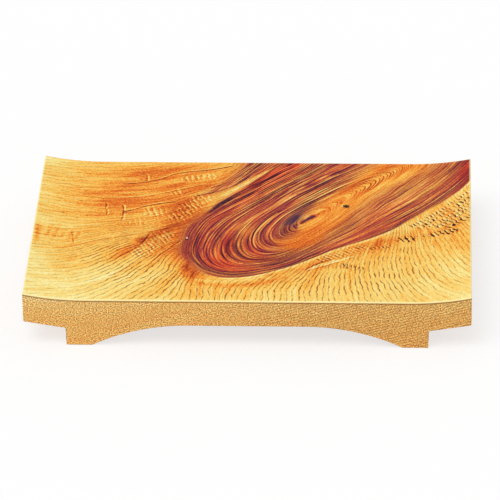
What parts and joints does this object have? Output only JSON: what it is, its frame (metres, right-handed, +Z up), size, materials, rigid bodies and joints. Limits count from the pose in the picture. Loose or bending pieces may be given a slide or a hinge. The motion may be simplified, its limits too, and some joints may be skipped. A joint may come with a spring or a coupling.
{
  "type": "sushi geta board",
  "caption": "Footed wooden serving board with a shallow hollow across its top, upswept ends and an arch between two dowelled feet.",
  "frame": {"origin": "on the surface the board stands on, under the middle of the board", "axes": "+X along the board to its right end, +Y from the front edge to the back edge, +Z up from the soles to the serving face"},
  "size_m": [0.3, 0.2, 0.0392],
  "materials": {
    "figured_plank": "planed conifer plank with a red-brown heart, clear satin urethane",
    "foot_wood": "planed straight-grained conifer, clear satin urethane",
    "dowel_wood": "turned beech, bare and glued"
  },
  "bodies": {
    "root": {"serving_board": "figured_plank", "left_foot": "foot_wood", "right_foot": "foot_wood", "left_front_dowel": "dowel_wood", "left_middle_dowel": "dowel_wood", "left_back_dowel": "dowel_wood", "right_front_dowel": "dowel_wood", "right_middle_dowel": "dowel_wood", "right_back_dowel": "dowel_wood"}
  },
  "joints": []
}
